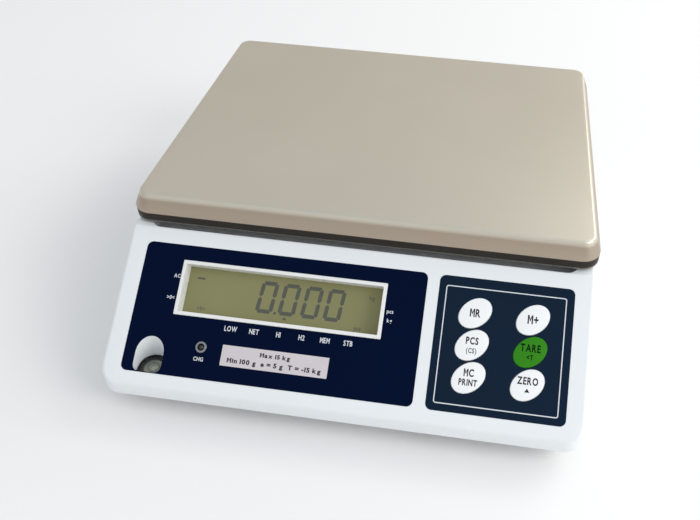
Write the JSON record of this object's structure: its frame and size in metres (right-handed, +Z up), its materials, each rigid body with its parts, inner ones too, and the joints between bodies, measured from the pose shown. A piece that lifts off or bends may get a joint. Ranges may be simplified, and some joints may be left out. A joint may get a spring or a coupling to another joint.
{
  "type": "counting scale",
  "caption": "Table-top electronic weighing and counting scale with a stainless pan, sloped display and key panel, sight level and adjustable feet.",
  "frame": {"origin": "on the table under the middle of the whole scale", "axes": "+X to the user's right, +Y away from the user towards the rear wall, +Z up"},
  "size_m": [0.31, 0.329, 0.106],
  "materials": {
    "housing_white": "satin",
    "stainless_pan": "satin brushed",
    "cast_platform": "cast",
    "beam_aluminium": "milled",
    "zinc_steel": "bright",
    "galvanised_sheet": "satin",
    "rubber_black": "matte",
    "foot_plastic": "satin",
    "overlay_navy": "gloss",
    "keypad_navy": "gloss",
    "bezel_white": "satin",
    "lcd_grey": "polished",
    "diffuser_white": "matte",
    "board_green": "solder mask",
    "component_black": "matte",
    "plate_white": "printed",
    "lamp_clear": "gloss",
    "ring_grey": "gloss",
    "circuit_film": "matte",
    "dome_steel": "bright",
    "cable_film": "satin",
    "level_ring": "gloss",
    "level_clear": "polished",
    "battery_grey": "matte",
    "terminal_brass": "bright",
    "lead_red": "gloss",
    "lead_black": "gloss",
    "lead_grey": "gloss",
    "silicone_white": "matte",
    "key_white": "satin",
    "key_green": "satin"
  },
  "bodies": {
    "housing": {"base_shell": "housing_white", "battery": "battery_grey", "battery_lead_black": "lead_black", "battery_lead_red": "lead_red", "battery_tabs": "terminal_brass", "board_parts": "component_black", "board_screws": "zinc_steel", "cell_lead": "lead_grey", "charge_lamp": "lamp_clear", "chassis": "galvanised_sheet", "chassis_screws": "zinc_steel", "display_bezel": "bezel_white", "display_board": "board_green", "display_overlay": "overlay_navy", "dome_switches": "dome_steel", "flat_cables": "cable_film", "foot_inserts": "terminal_brass", "gauge_covers": "silicone_white", "keypad_circuit": "circuit_film", "keypad_overlay": "keypad_navy", "keypad_spacer": "circuit_film", "lamp_ring": "ring_grey", "lcd_backlight": "diffuser_white", "lcd_glass": "lcd_grey", "level_body": "level_ring", "level_lens": "level_clear", "level_well": "housing_white", "load_cell": "beam_aluminium", "main_board": "board_green", "overload_stops": "zinc_steel", "pedestal": "beam_aluminium", "pedestal_screws": "zinc_steel", "power_jack": "component_black", "rating_plate": "plate_white", "serial_socket": "zinc_steel", "serial_studs": "zinc_steel", "shell_screws": "zinc_steel", "switch_body": "foot_plastic", "top_shell": "housing_white"},
    "carrier": {"platform": "cast_platform", "pan_pads": "rubber_black", "riser": "beam_aluminium", "riser_screws": "zinc_steel"},
    "weighing_pan": {"pan": "stainless_pan"},
    "power_rocker": {"rocker": "foot_plastic"},
    "bay_cover": {"battery_cover": "housing_white"},
    "key_recall_cap": {"key_recall": "key_white"},
    "key_count_cap": {"key_count": "key_white"},
    "key_clear_cap": {"key_clear": "key_white"},
    "key_add_cap": {"key_add": "key_white"},
    "key_tare_cap": {"key_tare": "key_green"},
    "key_zero_cap": {"key_zero": "key_white"},
    "sole_front_left": {"foot_sole_front_left": "rubber_black"},
    "stud_front_left": {"foot_stud_front_left": "foot_plastic"},
    "sole_front_right": {"foot_sole_front_right": "rubber_black"},
    "stud_front_right": {"foot_stud_front_right": "foot_plastic"},
    "sole_rear_left": {"foot_sole_rear_left": "rubber_black"},
    "stud_rear_left": {"foot_stud_rear_left": "foot_plastic"},
    "sole_rear_right": {"foot_sole_rear_right": "rubber_black"},
    "stud_rear_right": {"foot_stud_rear_right": "foot_plastic"}
  },
  "joints": [
    {"name": "weigh_travel", "type": "slide", "parent": "housing", "child": "carrier", "axis": [0, 0, 1], "range_m": [-0.0008, 0], "stiffness_N_per_m": 60000, "springref_m": 0.0006, "deforming": ["load_cell"]},
    {"name": "pan_lift", "type": "slide", "parent": "carrier", "child": "weighing_pan", "axis": [0, 0, 1], "range_m": [0, 0.06]},
    {"name": "rocker_swing", "type": "hinge", "parent": "housing", "child": "power_rocker", "pos_m": [0.105, 0.1585, 0.036], "axis": [0, 0, 1], "range_deg": [0, 20]},
    {"name": "battery_cover_pull", "type": "slide", "parent": "housing", "child": "bay_cover", "axis": [0, 0, -1], "range_m": [0, 0.008]},
    {"name": "key_recall_press", "type": "slide", "parent": "housing", "child": "key_recall_cap", "axis": [0, 0.5654, -0.8248], "range_m": [0, 0.0004], "stiffness_N_per_m": 1500, "springref_m": -0.0006},
    {"name": "key_count_press", "type": "slide", "parent": "housing", "child": "key_count_cap", "axis": [0, 0.5654, -0.8248], "range_m": [0, 0.0004], "stiffness_N_per_m": 1500, "springref_m": -0.0006},
    {"name": "key_clear_press", "type": "slide", "parent": "housing", "child": "key_clear_cap", "axis": [0, 0.5654, -0.8248], "range_m": [0, 0.0004], "stiffness_N_per_m": 1500, "springref_m": -0.0006},
    {"name": "key_add_press", "type": "slide", "parent": "housing", "child": "key_add_cap", "axis": [0, 0.5654, -0.8248], "range_m": [0, 0.0004], "stiffness_N_per_m": 1500, "springref_m": -0.0006},
    {"name": "key_tare_press", "type": "slide", "parent": "housing", "child": "key_tare_cap", "axis": [0, 0.5654, -0.8248], "range_m": [0, 0.0004], "stiffness_N_per_m": 1500, "springref_m": -0.0006},
    {"name": "key_zero_press", "type": "slide", "parent": "housing", "child": "key_zero_cap", "axis": [0, 0.5654, -0.8248], "range_m": [0, 0.0004], "stiffness_N_per_m": 1500, "springref_m": -0.0006},
    {"name": "foot_lift_front_left", "type": "slide", "parent": "housing", "child": "sole_front_left", "axis": [0, 0, 1], "range_m": [-0.004, 0.002]},
    {"name": "foot_turn_front_left", "type": "hinge", "parent": "sole_front_left", "child": "stud_front_left", "pos_m": [-0.132, -0.112, 0.005], "axis": [0, 0, 1], "range_deg": [-1150, 574]},
    {"name": "foot_lift_front_right", "type": "slide", "parent": "housing", "child": "sole_front_right", "axis": [0, 0, 1], "range_m": [-0.004, 0.002]},
    {"name": "foot_turn_front_right", "type": "hinge", "parent": "sole_front_right", "child": "stud_front_right", "pos_m": [0.132, -0.112, 0.005], "axis": [0, 0, 1], "range_deg": [-1150, 574]},
    {"name": "foot_lift_rear_left", "type": "slide", "parent": "housing", "child": "sole_rear_left", "axis": [0, 0, 1], "range_m": [-0.004, 0.002]},
    {"name": "foot_turn_rear_left", "type": "hinge", "parent": "sole_rear_left", "child": "stud_rear_left", "pos_m": [-0.138, 0.138, 0.005], "axis": [0, 0, 1], "range_deg": [-1150, 574]},
    {"name": "foot_lift_rear_right", "type": "slide", "parent": "housing", "child": "sole_rear_right", "axis": [0, 0, 1], "range_m": [-0.004, 0.002]},
    {"name": "foot_turn_rear_right", "type": "hinge", "parent": "sole_rear_right", "child": "stud_rear_right", "pos_m": [0.138, 0.138, 0.005], "axis": [0, 0, 1], "range_deg": [-1150, 574]}
  ],
  "couplings": [
    {"joint": "foot_lift_front_left", "follows": "foot_turn_front_left", "m_per_rad": 0.00019894},
    {"joint": "foot_lift_front_right", "follows": "foot_turn_front_right", "m_per_rad": 0.00019894},
    {"joint": "foot_lift_rear_left", "follows": "foot_turn_rear_left", "m_per_rad": 0.00019894},
    {"joint": "foot_lift_rear_right", "follows": "foot_turn_rear_right", "m_per_rad": 0.00019894}
  ]
}
